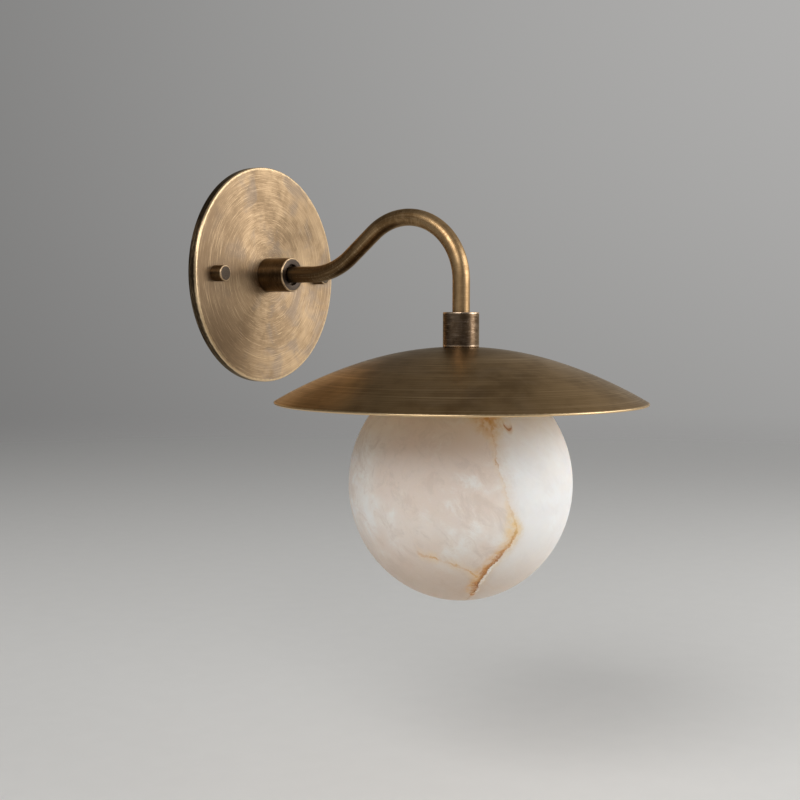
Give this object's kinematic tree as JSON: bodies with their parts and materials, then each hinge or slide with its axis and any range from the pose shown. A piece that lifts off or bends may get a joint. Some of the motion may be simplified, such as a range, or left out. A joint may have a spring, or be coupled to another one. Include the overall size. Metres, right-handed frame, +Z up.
{
  "type": "wall sconce",
  "caption": "Aged-brass wall sconce: round backplate, curved tube arm, domed shade and a screw-on alabaster globe over a plug-in lamp.",
  "frame": {"origin": "centre of the round backplate, on the wall plane, midway between the two box slots", "axes": "+Y into the wall, +Z up, +X to the right for a person who faces the wall"},
  "size_m": [0.2032, 0.2417, 0.242],
  "materials": {
    "aged_brass": "satin",
    "dark_brass": "satin",
    "plain_brass": "satin",
    "plated_steel": "satin",
    "alabaster": "polished",
    "aluminium": "satin",
    "silicone": "matte",
    "fibre": "matte",
    "nylon": "matte",
    "porcelain": "gloss",
    "lamp_base": "matte",
    "lamp_cover": "matte",
    "light_board": "matte",
    "lead_black": "matte",
    "lead_white": "matte",
    "lead_green": "matte"
  },
  "bodies": {
    "wall_frame": {"mounting_plate": "plated_steel", "canopy_studs": "plated_steel", "stud_locknuts": "plated_steel", "ground_screw": "plated_steel", "ground_tags": "plated_steel", "ground_lead": "lead_green", "canopy": "aged_brass", "hub_nipple": "plated_steel", "wire_bushing": "nylon", "hub_lock_washer": "plated_steel", "hub_locknut": "plain_brass", "arm_hub": "dark_brass", "arm_set_screw": "plated_steel", "arm_tube": "aged_brass", "shade_coupler": "aged_brass", "coupler_set_screw": "plated_steel", "shade_nipple": "plated_steel", "shade": "aged_brass", "shade_spacer": "plain_brass", "globe_fitter": "plain_brass", "fitter_lock_washer": "plated_steel", "fitter_locknut": "plain_brass", "lampholder_bracket": "plated_steel", "lampholder": "porcelain", "lampholder_screws": "plated_steel", "lampholder_contacts": "plain_brass", "live_lead": "lead_black", "neutral_lead": "lead_white"},
    "left_washer": {"left_nut_washer": "fibre"},
    "left_nut": {"left_cap_nut": "dark_brass"},
    "right_washer": {"right_nut_washer": "fibre"},
    "right_nut": {"right_cap_nut": "dark_brass"},
    "gasket": {"globe_gasket": "silicone"},
    "globe": {"alabaster_globe": "alabaster", "globe_neck_ring": "aluminium"},
    "bulb": {"bulb_base": "lamp_base", "bulb_pins": "plated_steel", "bulb_led_board": "light_board", "bulb_diffuser": "lamp_cover"}
  },
  "joints": [
    {"name": "left_nut_travel", "type": "slide", "parent": "wall_frame", "child": "left_washer", "axis": [0, -1, 0], "range_m": [0, 0.0056]},
    {"name": "left_nut_turn", "type": "hinge", "parent": "left_washer", "child": "left_nut", "pos_m": [-0.04665, -0.009, 0], "axis": [0, -1, 0], "range_deg": [0, 3060]},
    {"name": "right_nut_travel", "type": "slide", "parent": "wall_frame", "child": "right_washer", "axis": [0, -1, 0], "range_m": [0, 0.0056]},
    {"name": "right_nut_turn", "type": "hinge", "parent": "right_washer", "child": "right_nut", "pos_m": [0.04665, -0.009, 0], "axis": [0, -1, 0], "range_deg": [0, 3060]},
    {"name": "globe_travel", "type": "slide", "parent": "wall_frame", "child": "gasket", "axis": [0, 0, -1], "range_m": [0, 0.008]},
    {"name": "globe_turn", "type": "hinge", "parent": "gasket", "child": "globe", "pos_m": [0, -0.14009, -0.0635], "axis": [0, 0, -1], "range_deg": [0, 1512]},
    {"name": "bulb_pull", "type": "slide", "parent": "wall_frame", "child": "bulb", "axis": [0, 0, -1], "range_m": [0, 0.009]}
  ],
  "couplings": [
    {"joint": "left_nut_turn", "follows": "left_nut_travel", "rad_per_m": 8976},
    {"joint": "right_nut_turn", "follows": "right_nut_travel", "rad_per_m": 8976},
    {"joint": "globe_turn", "follows": "globe_travel", "rad_per_m": 3141.6}
  ]
}
